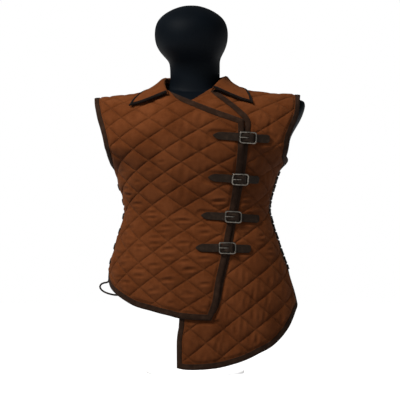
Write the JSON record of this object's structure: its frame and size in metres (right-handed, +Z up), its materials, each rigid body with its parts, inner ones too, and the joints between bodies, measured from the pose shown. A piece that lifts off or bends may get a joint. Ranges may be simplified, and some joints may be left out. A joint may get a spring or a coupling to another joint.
{
  "type": "quilted sleeveless gambeson on a limbless dress form with head, post and base",
  "caption": "Quilted sleeveless padded vest with an asymmetric buckled front, laced sides and turned-down collar, shown on a smooth limbless dress form.",
  "frame": {"origin": "middle of the stand's round base, on its underside, which lies on the floor", "axes": "+Z up, the garment's front looks along -Y, the wearer's left is +X"},
  "size_m": [0.5079, 0.2642, 0.8865],
  "materials": {
    "quilted_cloth": "red-brown woven cotton, matt, quilted",
    "binding": "dark brown bias binding, matt",
    "leather": "dark brown, waxed",
    "pewter": "worn nickel, satin",
    "lace": "dark brown cord",
    "form_cover": "black jersey, smooth",
    "pale_paint": "white, satin"
  },
  "bodies": {
    "root": {"front_over": "quilted_cloth", "front_under": "quilted_cloth", "back": "quilted_cloth", "collar": "quilted_cloth", "bind_over": "binding", "bind_under": "binding", "bind_back": "binding", "bind_arm_right": "binding", "bind_arm_left": "binding", "bind_collar": "binding", "tape": "binding", "strap_1": "leather", "strap_2": "leather", "strap_3": "leather", "strap_4": "leather", "tab_1": "leather", "tab_2": "leather", "tab_3": "leather", "tab_4": "leather", "buckle_1": "pewter", "buckle_2": "pewter", "buckle_3": "pewter", "buckle_4": "pewter", "prong_1": "pewter", "prong_2": "pewter", "prong_3": "pewter", "prong_4": "pewter", "lace_right": "lace", "lace_left": "lace", "lace_loop": "lace", "form_body": "form_cover", "form_post": "pale_paint", "form_base": "pale_paint"}
  },
  "joints": []
}
